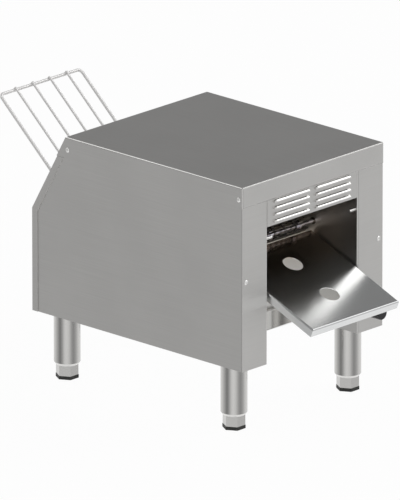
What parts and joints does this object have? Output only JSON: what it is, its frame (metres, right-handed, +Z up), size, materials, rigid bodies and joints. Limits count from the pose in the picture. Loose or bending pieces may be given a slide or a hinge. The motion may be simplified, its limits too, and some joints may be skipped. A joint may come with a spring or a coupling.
{
  "type": "conveyor toaster",
  "caption": "Countertop conveyor toaster: steel casing on adjustable legs, rear wire feed rack, wire belt between heaters, sloping front chute, crumb tray and two knobs.",
  "frame": {"origin": "on the floor plane, under the centre of the whole object's bounding box", "axes": "+X to the right seen from the front, +Y from the front chute to the rear rack, +Z up"},
  "size_m": [0.3852, 0.8031, 0.497],
  "materials": {
    "cover_steel": "dark satin stainless sheet",
    "panel_steel": "satin stainless sheet",
    "front_steel": "satin stainless sheet",
    "inner_steel": "plain bright sheet",
    "tray_steel": "bright sheet",
    "chute_steel": "mirror-like stainless sheet",
    "pin_steel": "bright",
    "wire_steel": "bright chromed wire",
    "belt_steel": "stainless wire",
    "shaft_steel": "ground steel",
    "chain_steel": "oiled steel",
    "bushing_brass": "sintered bronze",
    "motor_paint": "semi-gloss black",
    "heater_steel": "heat-tinted sheath",
    "ceramic": "glazed ceramic",
    "black_plastic": "moulded",
    "knob_plastic": "moulded black",
    "pale_plastic": "moulded",
    "screw_steel": "bright",
    "leg_steel": "polished tube",
    "foot_steel": "turned and milled",
    "foot_rubber": "moulded rubber"
  },
  "bodies": {
    "casing": {"base_plate": "inner_steel", "bulkhead": "inner_steel", "cable_gland": "black_plastic", "ceramic_holders": "ceramic", "conveyor_belt": "belt_steel", "cover_screws": "screw_steel", "drive_chain": "chain_steel", "front_left_leg": "leg_steel", "front_right_leg": "leg_steel", "gear_motor": "motor_paint", "guide_pins": "pin_steel", "left_base_rail": "inner_steel", "left_chute_rail": "inner_steel", "left_front_panel": "front_steel", "left_rack_seat": "inner_steel", "left_side_panel": "panel_steel", "leg_bolts": "screw_steel", "louvre_panel": "front_steel", "lower_heaters": "heater_steel", "lower_reflector": "inner_steel", "motor_bracket": "inner_steel", "rear_casing": "panel_steel", "rear_left_leg": "leg_steel", "rear_right_leg": "leg_steel", "rear_slope": "panel_steel", "right_base_rail": "inner_steel", "right_chute_rail": "inner_steel", "right_front_panel": "front_steel", "right_rack_seat": "inner_steel", "right_side_panel": "panel_steel", "selector_controller": "black_plastic", "shaft_bushings": "bushing_brass", "speed_controller": "black_plastic", "stile_screws": "screw_steel", "terminal_block": "pale_plastic", "top_cover": "cover_steel", "upper_heaters": "heater_steel", "upper_reflector": "inner_steel"},
    "front_drive": {"front_shaft": "shaft_steel", "front_sprockets": "shaft_steel", "driven_sprocket": "shaft_steel"},
    "rear_drive": {"rear_shaft": "shaft_steel", "rear_sprockets": "shaft_steel"},
    "motor_drive": {"motor_shaft": "shaft_steel", "motor_sprocket": "shaft_steel"},
    "speed_control": {"speed_knob": "knob_plastic", "speed_spindle": "shaft_steel"},
    "selector_control": {"selector_knob": "knob_plastic", "selector_spindle": "shaft_steel"},
    "chute": {"toast_chute": "chute_steel"},
    "tray": {"crumb_tray": "tray_steel"},
    "rack": {"wire_rack": "wire_steel"},
    "front_left_foot": {"front_left_foot": "foot_steel", "front_left_foot_pad": "foot_rubber"},
    "front_right_foot": {"front_right_foot": "foot_steel", "front_right_foot_pad": "foot_rubber"},
    "rear_left_foot": {"rear_left_foot": "foot_steel", "rear_left_foot_pad": "foot_rubber"},
    "rear_right_foot": {"rear_right_foot": "foot_steel", "rear_right_foot_pad": "foot_rubber"}
  },
  "joints": [
    {"name": "front_shaft_spin", "type": "hinge", "parent": "casing", "child": "front_drive", "pos_m": [0, -0.18, 0.3205], "axis": [1, 0, 0], "continuous": true},
    {"name": "rear_shaft_spin", "type": "hinge", "parent": "casing", "child": "rear_drive", "pos_m": [0, 0.211, 0.3205], "axis": [1, 0, 0], "continuous": true},
    {"name": "motor_shaft_spin", "type": "hinge", "parent": "casing", "child": "motor_drive", "pos_m": [0, -0.079, 0.2365], "axis": [1, 0, 0], "continuous": true},
    {"name": "speed_knob_turn", "type": "hinge", "parent": "casing", "child": "speed_control", "pos_m": [0.15475, -0.294, 0.1645], "axis": [0, -1, 0], "range_deg": [0, 270]},
    {"name": "selector_knob_turn", "type": "hinge", "parent": "casing", "child": "selector_control", "pos_m": [0.15475, -0.294, 0.1925], "axis": [0, -1, 0], "range_deg": [0, 180]},
    {"name": "toast_chute_slide", "type": "slide", "parent": "casing", "child": "chute", "axis": [0, -0.9272, -0.3746], "range_m": [0, 0.1]},
    {"name": "crumb_tray_slide", "type": "slide", "parent": "casing", "child": "tray", "axis": [0, -1, 0], "range_m": [0, 0.25]},
    {"name": "wire_rack_lift", "type": "slide", "parent": "casing", "child": "rack", "axis": [0, 0.7431, 0.6691], "range_m": [0, 0.06]},
    {"name": "front_left_foot_level", "type": "slide", "parent": "casing", "child": "front_left_foot", "axis": [0, 0, -1], "range_m": [0, 0.015]},
    {"name": "front_right_foot_level", "type": "slide", "parent": "casing", "child": "front_right_foot", "axis": [0, 0, -1], "range_m": [0, 0.015]},
    {"name": "rear_left_foot_level", "type": "slide", "parent": "casing", "child": "rear_left_foot", "axis": [0, 0, -1], "range_m": [0, 0.015]},
    {"name": "rear_right_foot_level", "type": "slide", "parent": "casing", "child": "rear_right_foot", "axis": [0, 0, -1], "range_m": [0, 0.015]}
  ],
  "couplings": [
    {"joint": "rear_shaft_spin", "follows": "front_shaft_spin", "ratio": 1},
    {"joint": "motor_shaft_spin", "follows": "front_shaft_spin", "ratio": 1.6667}
  ]
}
